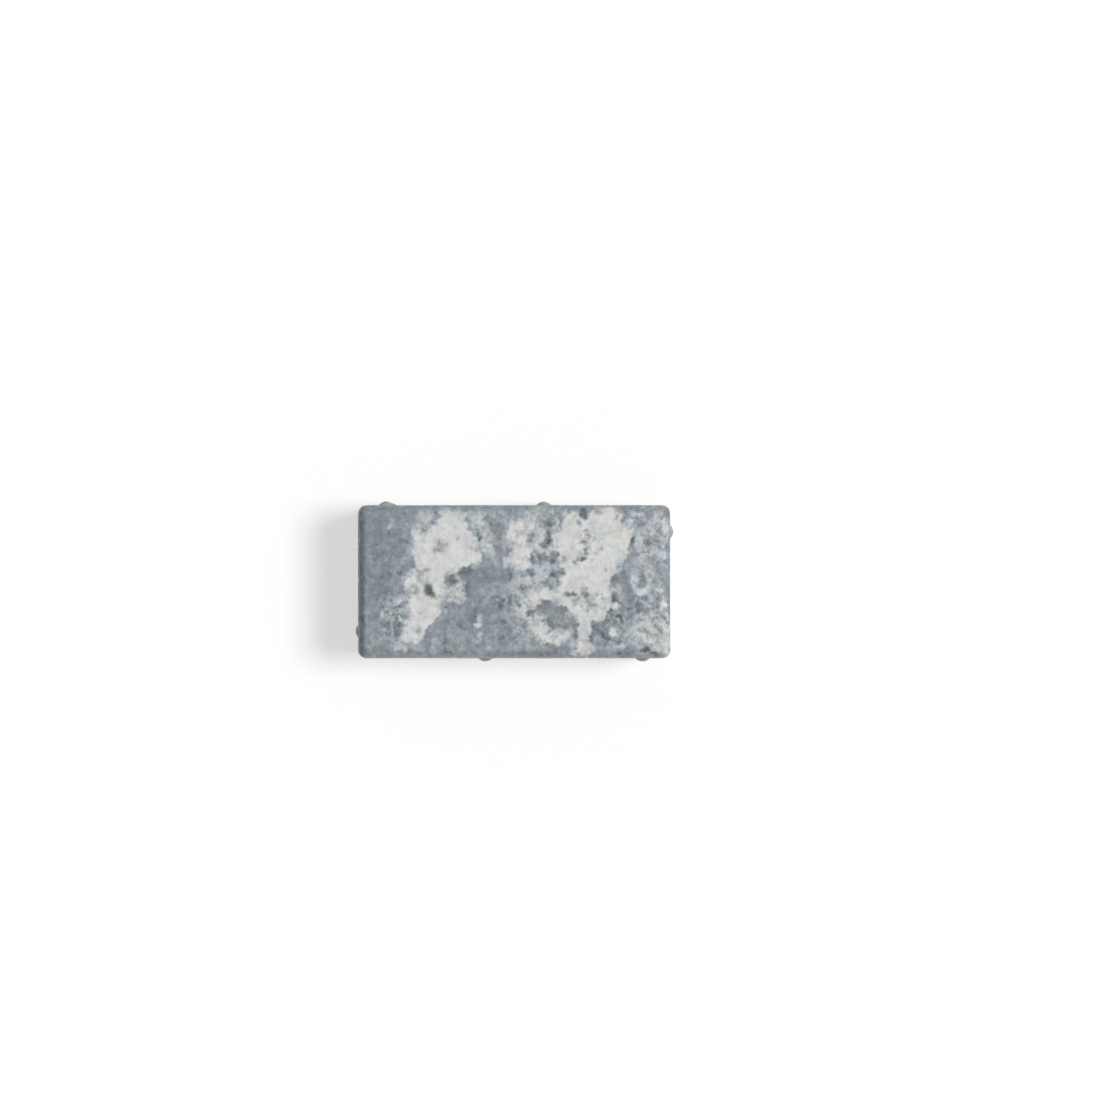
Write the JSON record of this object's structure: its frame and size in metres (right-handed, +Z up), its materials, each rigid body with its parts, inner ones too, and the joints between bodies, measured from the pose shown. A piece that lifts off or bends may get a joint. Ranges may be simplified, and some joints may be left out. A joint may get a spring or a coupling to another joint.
{
  "type": "concrete paving stone",
  "caption": "Rectangular pressed-concrete paving stone with a bevelled top edge, rounded corners and domed spacer lugs on its sides, in mottled blue-grey and cream.",
  "frame": {"origin": "centre of the flat underside, on the bedding plane that the stone lies on", "axes": "+X along the stone's length, +Y across its width, +Z up through its thickness, out of the walking surface"},
  "size_m": [0.2026, 0.102, 0.06],
  "materials": {
    "concrete": "matte"
  },
  "bodies": {
    "root": {"paving_stone": "concrete"}
  },
  "joints": []
}
